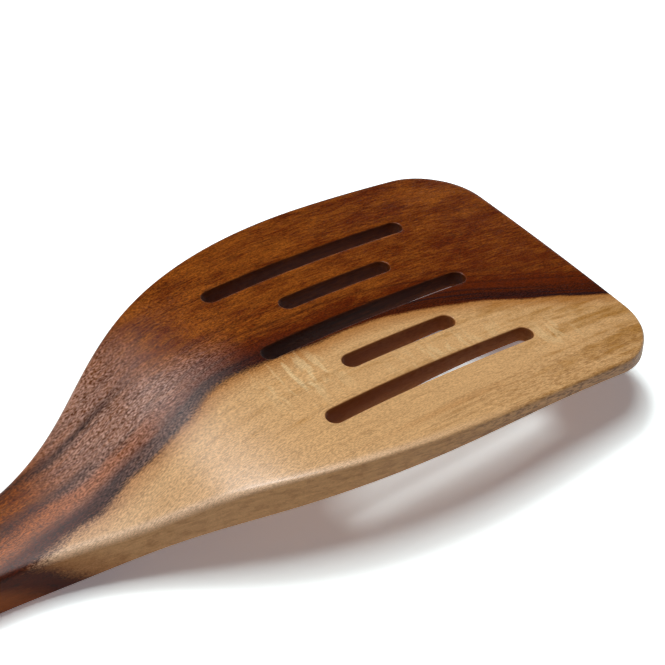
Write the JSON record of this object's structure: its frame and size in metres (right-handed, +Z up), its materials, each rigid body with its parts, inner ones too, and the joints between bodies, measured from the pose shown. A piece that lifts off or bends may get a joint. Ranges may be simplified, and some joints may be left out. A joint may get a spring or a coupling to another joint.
{
  "type": "kitchen turner",
  "caption": "Slotted wooden kitchen turner in one piece: a wide thin blade with long and short slots, a raised neck and a flared handle with a hanging hole.",
  "frame": {"origin": "under the middle of the length, on the surface that the turner lies on", "axes": "+X along the length towards the front edge of the blade, +Y across it, +Z up from the surface"},
  "size_m": [0.355, 0.0894, 0.0278],
  "materials": {
    "oiled_wood": "oiled satin, dark heartwood with pale sapwood along one side"
  },
  "bodies": {
    "root": {"turner_body": "oiled_wood"}
  },
  "joints": []
}
